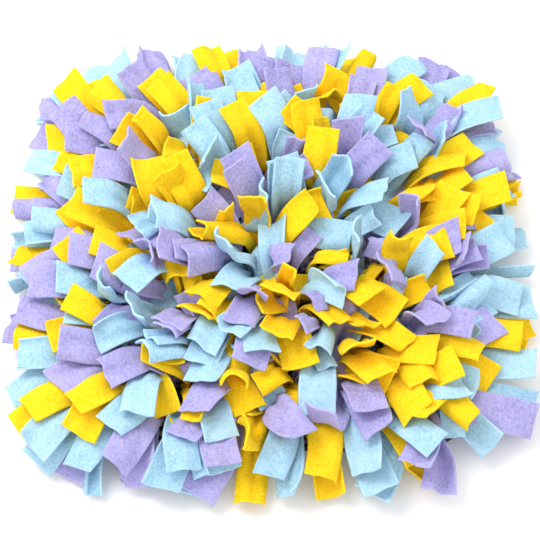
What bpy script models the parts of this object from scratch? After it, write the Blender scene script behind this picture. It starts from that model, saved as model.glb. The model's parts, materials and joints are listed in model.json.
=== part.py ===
"""Snuffle mat: a black rubber grid with 140 fleece strips, each passed round one bar and knotted.

Every strip leaves two free flaps, which fan outward over one another like shingles.
The strips stand in six square rings. One to three neighbours of one colour are one tuft, and each
tuft is one solid: the fold round the bar, the row of knots on it, and the flaps as bent sheets.
Metres, Z up, the underside on the ground at z = 0.
"""

import math
import random

import bpy
import bmesh
from mathutils import Vector
from mathutils.bvhtree import BVHTree

# ---- grid -------------------------------------------------------------------------------------
PITCH = 0.0275           # from strip to strip along a bar, and from ring to ring
RINGS = 6
GRID_HALF = 0.180
CORNER_RADIUS = 0.060
RIM_HEIGHT = 0.0058
BAR_WIDTH = 0.004
BAR_THICK = 0.003
RIM_WIDTH = 0.005
SLOT_WIDTH = 0.0085
CROSSBAR = 0.006         # what is left of the grid between the slots of two tufts
ARC_STEPS = 6

# ---- strips -----------------------------------------------------------------------------------
CLOTH = 0.0025
GAP = 0.0003
STRIP_WIDTH = 0.032
FLAP_LENGTH = 0.074
KNOT_HALF = 0.006        # half the width of a row of knots, across the bar
KNOT_TOP = 0.0135
ROOT_HALF = 0.0084       # half the width of a flap where it leaves its knot
TUFT_END = 0.001         # play between a fold and the ends of its slot

# A flap's sections past its root: the distance along it as a share of its length, its width as a
# share of the strip's, and its thickness, which is more where it is gathered.
OUTER_SECTIONS = (
    # along, width, thick
    (0.30, 0.84, 0.0031),
    (0.64, 1.00, 0.0025),
    (1.00, 1.00, 0.0025),
)
MIDDLE_SECTIONS = (
    # along, width, thick
    (0.42, 0.94, 0.0028),
    (1.00, 1.00, 0.0025),
)
MIDDLE_RINGS = 3         # rings with the second kind, from the middle out
MIDDLE_DROP = 1.6        # their fewer stretches each drop this much more

# ---- laying -----------------------------------------------------------------------------------
SEED = 7
CLEARANCE = 0.0004       # air kept round each flap as it is laid
FLOOR_CLEAR = 0.0015
TRIES = 500              # lies tried for each flap; the one that covers most is kept
SQUEEZED_TRIES = 2500    # more, turned, narrowed and shortened, where none of those has room
REACH = 0.125            # flaps whose roots are further apart than this can't meet
COLUMN = (0.016, 0.006, 0.035)  # kept free over each root still to be laid: along, across, high
SQUARENESS = 1.6         # over 1, flaps near a side point straight off it and not at the corners
ROOT_SKIP = 0.05         # share of the first stretch left out at the root when a flap is tested
PARTNER_SKIP = 0.35      # the same against the other flap of its strip, which shares its root's edge
# Limits of a flap's slopes in degrees: its first stretch, the drop at each bend, and its last.
GROUND_SLOPES = ((0.0, 40.0), (5.0, 30.0), -40.0)
PILE_SLOPES = ((40.0, 88.0), (5.0, 35.0), -30.0)
# Spreads of the random parts of a flap's lie, in degrees.
HEADING_SPREAD = (6.0, 9.0, 12.0, 14.0, 18.0, 25.0)  # by ring, from the outside in
TURN_SPREAD = 10.0       # change of heading at a bend
ROLL_SPREAD = 14.0
TWIST_SPREAD = 14.0      # change of roll at a bend
LENGTH_SHARES = (0.88, 1.06)
WIDTH_SHARES = (0.84, 1.0)
STUB_SLOPE = 88.0        # of the short twisted tails that stand where there is no room to lie
STUB_SHARES = (0.95, 0.75, 0.55, 0.40)  # of the height of COLUMN
SQUEEZED_TURN = 90.0
SQUEEZED_SHARES = (0.60, 1.0)

# ---- colours ----------------------------------------------------------------------------------
MATERIALS = {
    # slot: colour, roughness
    "fleece_blue": ((0.47, 0.71, 0.86), 0.95),
    "fleece_yellow": ((0.93, 0.70, 0.03), 0.95),
    "fleece_lavender": ((0.49, 0.45, 0.77), 0.95),
    "grid_rubber": ((0.025, 0.022, 0.02), 0.6),
}
LETTERS = {"B": "fleece_blue", "Y": "fleece_yellow", "L": "fleece_lavender"}

# One row a ring, from the outside in: how a side's strips are shared out in tufts, and the tufts'
# colours on the right, far, left and near sides, each read anticlockwise.
TUFTS = (
    # strips, right, far, left, near
    ((3, 2, 2, 3), "BBBL", "YBYB", "BBLY", "BBBB"),
    ((3, 3, 3), "YBY", "LBL", "YLL", "YLY"),
    ((2, 3, 2), "YLY", "BYY", "LYB", "LBB"),
    ((3, 2), "YB", "LB", "BY", "LY"),
    ((3,), "L", "L", "L", "Y"),
    ((1,), "L", "B", "Y", "B"),
)

# Large flaps that lie on top, set by hand. Their strip's place is in half pitches from the middle,
# so both are odd; the angles are in degrees.
TOP_FLAPS = (
    # x, y, heading, slopes, roll, length share
    (5, 5, 90, (72, 66), 0, 1.00),
    (5, 3, -34, (66, 14), 6, 0.98),
    (1, 1, -14, (62, 6), 4, 1.04),
    (1, -3, -104, (82, 64), -6, 1.06),
    (1, -5, -76, (62, 12), 5, 1.00),
    (5, -3, -42, (68, 22), -6, 1.00),
    (-3, -7, -48, (56, 14, -8), 3, 1.06),
    (3, -7, -92, (60, 20, -12), -4, 1.06),
    (9, -7, -30, (46, 15, -8), 4, 1.06),
    (-3, 7, 98, (66, 52, 30), -5, 1.06),
)

# Wells left open between the flaps down to the grid, for the treats: their middle in half pitches,
# both even, so that each stands between two rings of knots.
WELL = 0.012
WELL_FOOT = RIM_HEIGHT + 0.001
WELL_TOP = 0.130
WELLS = (
    # x, y
    (4, 10),
    (8, 8),
    (8, 4),
    (0, 6),
    (-6, 8),
    (-4, 2),
    (-8, 2),
    (-6, -4),
    (-6, -10),
    (2, -2),
    (4, -6),
    (10, -4),
)

BOX_FACES = ((0, 1, 3, 2), (4, 6, 7, 5), (0, 4, 5, 1), (2, 3, 7, 6), (0, 2, 6, 4), (1, 5, 7, 3))


def strip_sites():
    """Each tuft as a dict: its ring, side, bar direction, outward direction and strips' places."""
    tufts = []
    for ring, (shares, *sides) in enumerate(TUFTS):
        half = (RINGS - 0.5 - ring) * PITCH
        first = 1 if ring == 0 else 0
        for side, letters in enumerate(sides):
            angle = math.radians(90 * side)
            outward = Vector((math.cos(angle), math.sin(angle), 0))
            along = Vector((-outward.y, outward.x, 0))
            start = first
            for number, (share, letter) in enumerate(zip(shares, letters)):
                places = [
                    outward * half + along * (-half + (start + i) * PITCH) for i in range(share)
                ]
                start += share
                tufts.append(
                    dict(
                        name=f"tuft_{ring + 1}{'rfln'[side]}{number + 1}",
                        ring=ring,
                        side=side,
                        outward=outward,
                        along=along,
                        places=places,
                        slot=LETTERS[letter],
                    )
                )
    return tufts


def root_corners(tuft, place, inner, heading):
    """The four corners of a flap's root on top of its knot, in the order of a section's corners."""
    side = -1 if inner else 1
    near = Vector((0, 0, KNOT_TOP))
    far = near + tuft["outward"] * KNOT_HALF * side
    half = tuft["along"] * ROOT_HALF
    back, front = (far, near) if inner else (near, far)
    if heading.dot(tuft["outward"]) < 0:
        half = -half
        back, front = front, back
    return [place + half + back, place - half + back, place - half + front, place + half + front]


def section(centre, tangent, roll, width, thick):
    """The four corners of a flap's section: on its upper face, then on its lower one."""
    level = Vector((-tangent.y, tangent.x, 0)).normalized()
    up = tangent.cross(level)
    across = level * math.cos(roll) + up * math.sin(roll)
    half_wide = across * width / 2
    half_thick = tangent.cross(across) * thick / 2
    return [
        centre + half_wide + half_thick,
        centre - half_wide + half_thick,
        centre - half_wide - half_thick,
        centre + half_wide - half_thick,
    ]


def flap_points(lie, grown=0.0, raised=0.0):
    """The corners of all of a flap's sections, grown all round, its root raised by a share."""
    directions = [
        Vector((math.cos(s) * math.cos(h), math.cos(s) * math.sin(h), math.sin(s)))
        for s, h in zip(lie["slopes"], lie["headings"])
    ]
    root = root_corners(lie["tuft"], lie["place"], lie["inner"], directions[0])
    middle = sum(root, Vector()) / 4
    done = 0.0
    later = []
    for number, (along, width, thick) in enumerate(lie["sections"]):
        middle = middle + directions[number] * (along - done) * lie["length"]
        done = along
        ahead = directions[min(number + 1, len(directions) - 1)]
        tangent = (directions[number] + ahead).normalized()
        end = tangent * grown if along == 1 else Vector()
        later += section(
            middle + end, tangent, lie["rolls"][number], width * lie["width"] + 2 * grown,
            thick + 2 * grown,
        )
    return [corner.lerp(later[number], raised) for number, corner in enumerate(root)] + later


def flap_faces(sections):
    """The triangles round a flap and the face over its cut end, for its points in order.

    The upper and the lower face are split along the same diagonal, so a twist keeps them apart.
    """
    faces = []
    for start in range(0, 4 * (sections - 1), 4):
        for corner in range(4):
            after = (corner + 1) % 4
            a, b, c, d = start + corner, start + 4 + corner, start + 4 + after, start + after
            faces += [(a, b, c), (a, c, d)] if corner < 2 else [(a, b, d), (b, c, d)]
    last = 4 * (sections - 1)
    faces.append((last + 3, last + 2, last + 1, last))
    return faces


def flap_shell(lie, grown=0.0, raised=0.0):
    """A flap's points and faces, closed over its root."""
    points = flap_points(lie, grown, raised)
    return points, [(0, 1, 2, 3)] + flap_faces(len(points) // 4)


def fold_ends(tuft):
    """Where a tuft's fold starts and ends along its bar, as points on the bar's line."""
    reach = PITCH / 2 - CROSSBAR / 2 - TUFT_END
    return tuft["places"][0] - tuft["along"] * reach, tuft["places"][-1] + tuft["along"] * reach


def outward_heading(place):
    """The heading straight off the mat from a place on it."""
    return math.atan2(
        math.copysign(abs(place.y) ** SQUARENESS, place.y),
        math.copysign(abs(place.x) ** SQUARENESS, place.x),
    )


def try_lie(dice, tuft, place, inner):
    """One random lie of a flap, its slope falling from each stretch to the next."""
    heading = outward_heading(place) + math.radians(dice.gauss(0, HEADING_SPREAD[tuft["ring"]]))
    turn = math.radians(dice.gauss(0, TURN_SPREAD))
    roll = math.radians(dice.gauss(0, ROLL_SPREAD))
    twist = math.radians(dice.gauss(0, TWIST_SPREAD))
    middle = tuft["ring"] >= RINGS - MIDDLE_RINGS
    sections = MIDDLE_SECTIONS if middle else OUTER_SECTIONS
    ground = tuft["ring"] == 0 and not inner
    first, drop, least = GROUND_SLOPES if ground else PILE_SLOPES
    slopes = [dice.uniform(*first)]
    while len(slopes) < len(sections):
        slopes.append(max(least, slopes[-1] - dice.uniform(*drop) * (MIDDLE_DROP if middle else 1)))
    return dict(
        tuft=tuft,
        place=place,
        inner=inner,
        sections=sections,
        headings=[heading, heading + turn, heading + 2 * turn],
        slopes=[math.radians(slope) for slope in slopes],
        rolls=[roll, roll + twist, roll + 2 * twist],
        length=FLAP_LENGTH * dice.uniform(*LENGTH_SHARES),
        width=STRIP_WIDTH * dice.uniform(*WIDTH_SHARES),
    )


def cover(lie):
    """How much of the mat a flap covers from above, in square metres."""
    done = 0.0
    area = 0.0
    for (along, width, _), slope, roll in zip(lie["sections"], lie["slopes"], lie["rolls"]):
        flat = math.cos(slope) * math.cos(roll)
        area += (along - done) * lie["length"] * width * lie["width"] * flat
        done = along
    return area


def top_flap(tufts, row):
    """The lie of one of the TOP_FLAPS, on the outward side of its strip's knot."""
    x, y, heading, slopes, roll, length = row
    spot = Vector((x, y, 0)) * PITCH / 2
    tuft, place = min(
        ((tuft, place) for tuft in tufts for place in tuft["places"]),
        key=lambda pair: (pair[1] - spot).length,
    )
    return dict(
        tuft=tuft,
        place=place,
        inner=False,
        sections=OUTER_SECTIONS if len(slopes) == 3 else MIDDLE_SECTIONS,
        headings=[math.radians(heading)] * 3,
        slopes=[math.radians(slope) for slope in slopes],
        rolls=[math.radians(roll)] * 3,
        length=FLAP_LENGTH * length,
        width=STRIP_WIDTH,
    )


def box_points(low, high):
    """The corners of a box, for BOX_FACES."""
    return [
        Vector((x, y, z)) for x in (low[0], high[0]) for y in (low[1], high[1])
        for z in (low[2], high[2])
    ]


def well_box(well):
    """Opposite corners of a well."""
    x, y = well[0] * PITCH / 2, well[1] * PITCH / 2
    half = WELL / 2
    return (x - half, y - half, WELL_FOOT), (x + half, y + half, WELL_TOP)


def root_column(tuft, place, inner):
    """The room kept free over a root until its flap is laid, as points and faces."""
    along, across, high = COLUMN
    middle = place + tuft["outward"] * KNOT_HALF / 2 * (-1 if inner else 1)
    half = tuft["along"] * along / 2 + tuft["outward"] * across / 2
    half = Vector((abs(half.x), abs(half.y), 0))
    foot = Vector((0, 0, KNOT_TOP))
    return box_points(middle - half + foot, middle + half + foot + Vector((0, 0, high))), BOX_FACES


def fold_shell(tuft):
    """A box round a tuft's fold and knots, as points and faces."""
    first, last = fold_ends(tuft)
    side = tuft["outward"] * KNOT_HALF
    corners = [first - side, first + side, last - side, last + side]
    low = [min(corner[axis] for corner in corners) for axis in (0, 1)]
    high = [max(corner[axis] for corner in corners) for axis in (0, 1)]
    return box_points((*low, 0.0), (*high, KNOT_TOP)), BOX_FACES


def laying_order(dice, tufts):
    """Every root: the rings from the outside in, and in each the outer roots before the inner."""
    order = []
    for ring in range(RINGS):
        for inner in (False, True):
            batch = [
                (tuft, place, inner) for tuft in tufts if tuft["ring"] == ring
                for place in tuft["places"]
            ]
            dice.shuffle(batch)
            order += batch
    return order


def join_shells(shells):
    """One search tree of many shells."""
    points = []
    faces = []
    for more_points, more_faces in shells:
        start = len(points)
        points += more_points
        faces += [tuple(start + corner for corner in face) for face in more_faces]
    return BVHTree.FromPolygons(points, faces)


def lay_flaps(tufts):
    """Every flap's lie: each one covers what it can without touching those already there."""
    dice = random.Random(SEED)
    order = laying_order(dice, tufts)
    obstacles = []
    for well in WELLS:
        low, high = well_box(well)
        obstacles.append((None, Vector((*low[:2], 0)), (box_points(low, high), BOX_FACES)))
    for tuft in tufts:
        obstacles.append((tuft["name"], tuft["places"][len(tuft["places"]) // 2], fold_shell(tuft)))
    border = slab_shell(grid_outline(0.0), 0.0, RIM_HEIGHT)
    laid = {}
    for row in TOP_FLAPS:
        lie = top_flap(tufts, row)
        laid[tuple(lie["place"]), False] = lie
    order = [root for root in order if (tuple(root[1]), root[2]) not in laid]
    columns = [(None, place, root_column(tuft, place, inner)) for tuft, place, inner in order]
    for number, (tuft, place, inner) in enumerate(order):
        near = [
            shell for owner, middle, shell in obstacles + columns[number + 1:]
            if owner != tuft["name"] and (middle - place).length < REACH
        ]
        near += [
            flap_shell(lie) for (middle, _), lie in laid.items()
            if 0 < (Vector(middle) - place).length < REACH
        ]
        near.append(border)
        partner = [flap_shell(lie) for (middle, _), lie in laid.items() if middle == tuple(place)]
        lie = lay_one(dice, tuft, place, inner, join_shells(near), partner and join_shells(partner))
        laid[tuple(place), inner] = lie
    return list(laid.values())


def is_clear(lie, near, partner):
    """Whether a flap touches neither the ground nor its neighbours, nor the flap by its root."""
    points, faces = flap_shell(lie, CLEARANCE, ROOT_SKIP)
    if min(point.z for point in points) < FLOOR_CLEAR:
        return False
    if BVHTree.FromPolygons(points, faces).overlap(near):
        return False
    if not partner:
        return True
    points, faces = flap_shell(lie, CLEARANCE, PARTNER_SKIP)
    return not BVHTree.FromPolygons(points, faces).overlap(partner)


def lay_one(dice, tuft, place, inner, near, partner):
    """The lie that covers most of those tried that touch nothing, or a short upright tail."""
    tries = [try_lie(dice, tuft, place, inner) for _ in range(TRIES)]
    for lie in sorted(tries, key=cover, reverse=True):
        if is_clear(lie, near, partner):
            return lie
    for _ in range(SQUEEZED_TRIES):
        lie = try_lie(dice, tuft, place, inner)
        turn = math.radians(dice.uniform(-SQUEEZED_TURN, SQUEEZED_TURN))
        lie["headings"] = [heading + turn for heading in lie["headings"]]
        lie["width"] *= dice.uniform(*SQUEEZED_SHARES)
        lie["length"] *= dice.uniform(*SQUEEZED_SHARES)
        if is_clear(lie, near, partner):
            return lie
    lie.update(
        headings=[outward_heading(place)] * 3,
        slopes=[math.radians(STUB_SLOPE)] * 3,
        rolls=[0.0] * 3,
        width=COLUMN[0],
    )
    for share in STUB_SHARES:
        lie["length"] = COLUMN[2] * share
        if is_clear(lie, near, partner):
            break
    return lie


def add_material(name):
    """A plain material of one of the MATERIALS."""
    colour, roughness = MATERIALS[name]
    material = bpy.data.materials.new(name)
    material.use_nodes = True
    shader = material.node_tree.nodes["Principled BSDF"]
    shader.inputs["Base Color"].default_value = (*colour, 1)
    shader.inputs["Roughness"].default_value = roughness
    shader.inputs["Metallic"].default_value = 0.0
    material.diffuse_color = (*colour, 1)
    return material


def add_object(name, points, faces, material=None):
    """A closed mesh object with its faces turned outward."""
    mesh = bpy.data.meshes.new(name)
    mesh.from_pydata(points, [], faces)
    body = bmesh.new()
    body.from_mesh(mesh)
    bmesh.ops.recalc_face_normals(body, faces=body.faces)
    body.to_mesh(mesh)
    body.free()
    if material:
        mesh.materials.append(material)
    thing = bpy.data.objects.new(name, mesh)
    bpy.context.scene.collection.objects.link(thing)
    return thing


def cut_away(thing, cutter):
    """Cuts an object with another, which is used up."""
    change = thing.modifiers.new("cut", "BOOLEAN")
    change.object = cutter
    change.operation = "DIFFERENCE"
    graph = bpy.context.evaluated_depsgraph_get()
    mesh = bpy.data.meshes.new_from_object(thing.evaluated_get(graph))
    thing.modifiers.clear()
    thing.data = mesh
    bpy.data.objects.remove(cutter)


def slab_shell(outline, low, high):
    """The points and faces of an upright slab with an outline of (x, y) pairs."""
    count = len(outline)
    points = [(x, y, z) for z in (low, high) for x, y in outline]
    faces = [tuple(range(count)), tuple(range(count, 2 * count))]
    for start in range(count):
        after = (start + 1) % count
        faces.append((start, after, count + after, count + start))
    return points, faces


def grid_outline(inset):
    """The grid's rounded square, drawn in by an inset."""
    radius = CORNER_RADIUS - inset
    middle = GRID_HALF - CORNER_RADIUS
    outline = []
    for quarter, (x_side, y_side) in enumerate(((1, 1), (-1, 1), (-1, -1), (1, -1))):
        for step in range(ARC_STEPS + 1):
            angle = math.radians(90) * (quarter + step / ARC_STEPS)
            outline.append(
                (
                    x_side * middle + radius * math.cos(angle),
                    y_side * middle + radius * math.sin(angle),
                )
            )
    return outline


def slot_boxes(tufts):
    """Opposite corners of the cutters for the slots on the two sides of each tuft's bar."""
    boxes = []
    reach = PITCH / 2 - CROSSBAR / 2
    near, far = BAR_WIDTH / 2, BAR_WIDTH / 2 + SLOT_WIDTH
    for tuft in tufts:
        first = tuft["places"][0] - tuft["along"] * reach
        last = tuft["places"][-1] + tuft["along"] * reach
        for side in (1, -1):
            ends = (first + tuft["outward"] * near * side, last + tuft["outward"] * far * side)
            low = [min(point[axis] for point in ends) for axis in (0, 1)]
            high = [max(point[axis] for point in ends) for axis in (0, 1)]
            boxes.append(((*low, -RIM_HEIGHT), (*high, 2 * RIM_HEIGHT)))
    return boxes


def build_grid(tufts, material):
    """The rubber grid: a plate with slots for the tufts, and a rim down to the ground."""
    grid = add_object("grid", *slab_shell(grid_outline(0.0), 0.0, RIM_HEIGHT), material)
    hollow = slab_shell(grid_outline(RIM_WIDTH), -RIM_HEIGHT, RIM_HEIGHT - BAR_THICK)
    cut_away(grid, add_object("hollow", *hollow))
    points = []
    faces = []
    for low, high in slot_boxes(tufts):
        start = len(points)
        points += box_points(low, high)
        faces += [tuple(start + corner for corner in face) for face in BOX_FACES]
    cut_away(grid, add_object("slots", points, faces))
    return grid


def fold_loops(tuft):
    """The points of a fold's two ends, and of the two edges and middle line of its top."""
    first, last = fold_ends(tuft)
    outward = tuft["outward"]
    hole = BAR_WIDTH / 2 + GAP
    side = hole + CLOTH
    corners = (
        # offset, height: two of the foot, then the hole's floor and lid
        (-side, 0.0),
        (side, 0.0),
        (-hole, CLOTH),
        (hole, CLOTH),
        (hole, RIM_HEIGHT + GAP),
        (-hole, RIM_HEIGHT + GAP),
    )
    half = tuft["along"] * ROOT_HALF
    stations = [first]
    for place in tuft["places"]:
        stations += [place - half, place + half]
    stations.append(last)
    ends = [
        [end + outward * offset + Vector((0, 0, height)) for offset, height in corners]
        for end in (first, last)
    ]
    tops = [
        [station + outward * offset + Vector((0, 0, KNOT_TOP)) for station in stations]
        for offset in (-KNOT_HALF, 0.0, KNOT_HALF)
    ]
    return ends, tops


def build_tuft(tuft, lies, material):
    """One tuft: its fold and knots round the bar, and a flap grown from each root on their top."""
    (start, end), tops = fold_loops(tuft)
    count = len(tops[0])
    points = start + end
    rows = []
    for row in tops:
        rows.append(list(range(len(points), len(points) + count)))
        points += row
    inner, middle, outer = rows
    foot, foot_out, hole, hole_out, lid_out, lid = range(len(start))
    far = len(start)
    faces = [
        (foot, foot_out, far + foot_out, far + foot),
        (foot, *inner, far + foot)[::-1],
        (foot_out, *outer, far + foot_out),
        (hole, hole_out, far + hole_out, far + hole),
        (hole_out, lid_out, far + lid_out, far + hole_out),
        (lid_out, lid, far + lid, far + lid_out),
        (lid, hole, far + hole, far + lid),
    ]
    for base, column in ((0, 0), (far, -1)):
        faces += [
            (base + foot, base + foot_out, base + hole_out, base + hole),
            (base + foot_out, outer[column], base + lid_out, base + hole_out),
            (outer[column], middle[column], inner[column], base + lid, base + lid_out),
            (inner[column], base + foot, base + hole, base + lid),
        ]
    for column in range(count - 1):
        root = column % 2 == 1
        for is_inner, (left, right) in ((True, (inner, middle)), (False, (middle, outer))):
            if root and any(
                lie["inner"] == is_inner and lie["place"] == tuft["places"][column // 2]
                for lie in lies
            ):
                continue
            faces.append((left[column], left[column + 1], right[column + 1], right[column]))
    known = {round_point(point): number for number, point in enumerate(points)}
    for lie in lies:
        corners = flap_points(lie)
        numbers = [known[round_point(corner)] for corner in corners[:4]]
        numbers += range(len(points), len(points) + len(corners) - 4)
        points += corners[4:]
        faces += [
            tuple(numbers[corner] for corner in face) for face in flap_faces(len(corners) // 4)
        ]
    return add_object(tuft["name"], points, faces, material)


def round_point(point):
    """A point as a key, so that a flap's root finds its corners on the knots."""
    return tuple(round(value, 6) for value in point)


def main():
    """Clears the scene and builds the mat."""
    for thing in list(bpy.data.objects):
        bpy.data.objects.remove(thing)
    materials = {name: add_material(name) for name in MATERIALS}
    tufts = strip_sites()
    lies = lay_flaps(tufts)
    build_grid(tufts, materials["grid_rubber"])
    for tuft in tufts:
        own = [lie for lie in lies if lie["tuft"] is tuft]
        build_tuft(tuft, own, materials[tuft["slot"]])


if __name__ == "__main__":
    main()
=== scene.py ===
"""Snuffle mat: fleece strips knotted round the bars of a black rubber mesh.

Each strip passes under one bar, is knotted on top of it, and leaves two flaps. The flaps of 140
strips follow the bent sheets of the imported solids, with the gathers, curls and drooping corners of
real fleece. Some 120 more strips, from the bars midway between them, fill the pile.
"""

import itertools
import json
import math

import bpy
import numpy as np
from bpy.props import FloatProperty, FloatVectorProperty, IntProperty, PointerProperty
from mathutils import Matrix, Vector
from mathutils.bvhtree import BVHTree


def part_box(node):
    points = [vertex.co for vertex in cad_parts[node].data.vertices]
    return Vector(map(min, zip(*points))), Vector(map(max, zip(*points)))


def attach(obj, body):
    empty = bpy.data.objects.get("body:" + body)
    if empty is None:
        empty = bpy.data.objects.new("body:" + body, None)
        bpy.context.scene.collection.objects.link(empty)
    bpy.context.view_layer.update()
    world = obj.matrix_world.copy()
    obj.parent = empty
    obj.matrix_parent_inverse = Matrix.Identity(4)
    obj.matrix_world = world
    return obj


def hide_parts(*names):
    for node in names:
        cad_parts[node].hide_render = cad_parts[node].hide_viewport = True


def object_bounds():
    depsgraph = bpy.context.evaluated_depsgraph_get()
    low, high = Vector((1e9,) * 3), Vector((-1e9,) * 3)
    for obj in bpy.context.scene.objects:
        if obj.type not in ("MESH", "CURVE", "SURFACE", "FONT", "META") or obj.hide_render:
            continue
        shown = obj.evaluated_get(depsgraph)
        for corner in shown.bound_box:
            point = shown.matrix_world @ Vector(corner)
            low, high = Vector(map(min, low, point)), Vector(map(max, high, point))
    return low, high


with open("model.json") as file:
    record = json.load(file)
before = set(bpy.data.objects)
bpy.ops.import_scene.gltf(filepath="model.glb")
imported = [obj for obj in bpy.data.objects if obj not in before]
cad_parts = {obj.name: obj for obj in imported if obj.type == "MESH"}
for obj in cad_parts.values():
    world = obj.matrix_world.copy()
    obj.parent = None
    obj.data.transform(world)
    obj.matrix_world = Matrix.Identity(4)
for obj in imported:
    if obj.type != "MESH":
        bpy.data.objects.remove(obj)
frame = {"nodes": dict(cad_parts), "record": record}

bl_info = {
    "name": "Snuffle Mat",
    "version": (1, 0, 0),
    "blender": (4, 5, 0),
    "location": "View3D > Sidebar > Snuffle Mat",
    "description": "Dresses a snuffle mat: fleece tufts, rubber mesh, floor, lights and camera",
    "category": "Object",
}

CAD_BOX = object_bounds()
GRID_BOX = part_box("grid")
BODY = "root"

UP = np.array((0.0, 0.0, 1.0))
TURN = 2 * math.pi
STRIPS = {}  # the strips laid, by the settings that they were laid with

# ---- what the solids are built to ----
PITCH = 0.0275  # from strip to strip along a bar, and from ring to ring
RINGS = 6
BAR_TOP = 0.0058
BAR_STEP = 0.0002  # the bars that run to the back are lower by this
KNOT_HALF = 0.006
KNOT_TOP = 0.0135
FOLD_LEVELS = (0.0, 0.0025, 0.0061, KNOT_TOP)  # heights of the corners of a tuft's fold
NEAR = 0.00003  # corners closer than this are one
OUTWARD = {"r": (1, 0, 0), "f": (0, 1, 0), "l": (-1, 0, 0), "n": (0, -1, 0)}
COLOURS = ("fleece_blue", "fleece_yellow", "fleece_lavender")

# ---- the grid a flap is worked out on ----
ROWS = 17  # along a flap, before its rounded end
COLUMNS = 7  # across it, between its rounded edges
EDGE_STEPS = (0.0, 0.00025, 0.0007, 0.0013)  # distances from a cut edge, where the cloth rounds off
EDGE_REACH = 0.0013
EDGE_POWER = 2.4
LINE_SAMPLES = 60
END_SAMPLES = 9  # of them, the last, which tell whether a flap rises to its tip
TEST_ROWS = 9  # the coarser grid on which flaps are kept apart
TEST_COLUMNS = 6
ROOT_SKIP = 3  # rows of a flap that are not kept apart, in its knot
TEST_HALF = 0.55  # of the cloth's thickness, to either side, that is kept apart
NO_EDGE = 0.01  # distance from a cut edge of a part that has none
CLOTH_STEP = (0.05, 0.09)  # on the cloth, from strip to strip and from flap to flap

# ---- knots, and folds under the bars; marked ones are shares of the cloth's thickness ----
KNOT_ROOM = np.array((0.005, 0.005, 0.008))  # beside and below a knot's top
KNOT_SPANS = (0.0026, 0.0016, 0.0017)  # of its trefoil: along the bar, across it and up
KNOT_POINTS = 18  # round the trefoil
KNOT_SIDES = 4  # of its strand
KNOT_RADIUS = 1.3  # share
KNOT_UNEVEN = 0.13  # of that radius
KNOT_TURN = 0.35  # the most that a knot is turned on its bar
FOLD_TOP = 0.0095
FOLD_GAP = 0.0004  # between neighbouring folds
FOLD_POINTS = 7  # round its bend
FOLD_OFF = 0.75  # share, from the bar's side to the fold's middle
FOLD_THICK = 1.15  # share
LOWEST = 0.6  # share, from the floor to the cloth's middle

# ---- how flaps differ: pairs are ranges, single numbers spreads; angles in radians ----
WIDER = 1.03  # than its solid's tip a flap is at most
ROOT_WIDE = 1.25  # width at the root, against that in the knot
SOLID_FOLD = (0.18, 1.6)  # share of flaps that fold over, and the most they turn
FREE_FOLD = (0.42, 2.6)
NESTED_FOLD = (0.35, 2.4)
FOLD_TURN_LEAST = 0.9
FOLD_AT = (0.45, 0.68)  # share of the way along
FOLD_REACH = 0.16
SAG = (0.4, 1.5)  # how far a rising tip bends down, against its slope
SAG_AT = (0.25, 0.5)
SAG_REACH = 0.38
ROLL = 0.32
ROOT_ARC = 1.2
ROOT_ARC_MOST = 2.2
TIP_ARC = 0.5
ARC_POWER = 1.3  # of how the root's arc eases out
CUPPED_ARC = (1.6, 3.4)
PLEATS = (1.2, 2.4)
PLEAT_SLOPE = 2.1
PLEAT_MOST = 0.55
CURL_MOST = 1.5
CURLED_SHARE = 0.6
CURL_PART = (0.45, 0.55)
CURL_POWER = 0.6  # of how a curl grows towards the tip
CREASE_TURN = (0.3, 0.95)
CREASE_OFF = 0.45
CREASE_DRIFT = 0.25
CREASE_WIDTH = 0.13
CREASE_FADE = (1.15, 0.6)  # how much of it is in the knot, and how much less at the tip
DROOP = 0.004
DROOP_PART = (0.55, 0.45)  # share of the way where it starts, and its reach
CORNER_PART = (0.25, 0.75)
RIPPLE_TURNS = (0.6, 1.6)
SKEW = 0.10
WAIST = 0.012  # how far the two edges sway in and out, against the width
WAIST_TURNS = (1.5, 3)

# ---- how flaps between the solids lie; angles in degrees ----
FREE_LENGTH = (0.82, 1.02)  # against the flap length
FREE_STEEP = (48, 88)  # slope at the knot
FREE_FLAT = (-45, 40)  # slope at the tip
FREE_BEND = (0.6, 1.3)
FREE_TURN = 22
FREE_ROLL = (30, 28)  # at the knot, at the tip
FREE_POINTS = 31
FREE_TAKEN = (4, 10, 18, 30)  # points that become sections
FREE_WIDTHS = (0.62, 0.88, 0.98, 1.0)
NESTED_OVER = (0.003, 0.009)
NESTED_SWING = 34
NESTED_EASE = 1.5  # power of how it comes to lie over the other
NESTED_WIDTH = 0.8  # the least, against the strip's
NESTED_EVERY = 6  # one try in so many is nested
NESTED_REACH = 1.3 * PITCH  # from another's place
HEADING = (0.8, 1.4)  # spread of a heading: first flaps of the outer rings, others
OUTER_RINGS = 2
CENTRE = 2.5 * PITCH  # where flaps head any way

# ---- how they are kept apart ----
SOLID_TRIES = 16  # ways tried to curl a flap that follows a solid
FREE_TRIES = 100  # ways tried to lay another one
BARE_WORTH = 2.0  # worth of covering a bare cell, against lying on top of one
ACROSS_WORTH = 45.0  # worth of lying across the mat's radius
MEETING_COST = 5.0
LEAST_WORTH = -120.0  # a flap worth less is left out
MAT_REACH = 0.26  # half the side of the map of what the flaps cover
MAP_CELL = 0.004
MAP_COUNT = int(2 * MAT_REACH / MAP_CELL)
OVER_MESH = 5.0  # worth of covering a bare cell over the mesh, against one elsewhere
ON_TOP = 0.002
FEW = 1.2  # meetings that a solid's flap is left with
DEEP = 0.014  # under the pile's top by more than this, a meeting hardly counts
DEEP_WEIGHT = 0.12
LIVELY = 1.3  # the first curl tried on a solid's flap; the last is one less
BOX_MARGIN = 0.004  # past the solids' box, sideways
TOP_MARGIN = 0.001  # under its top
CLEARANCE = 0.002  # above the floor and the mesh

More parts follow.
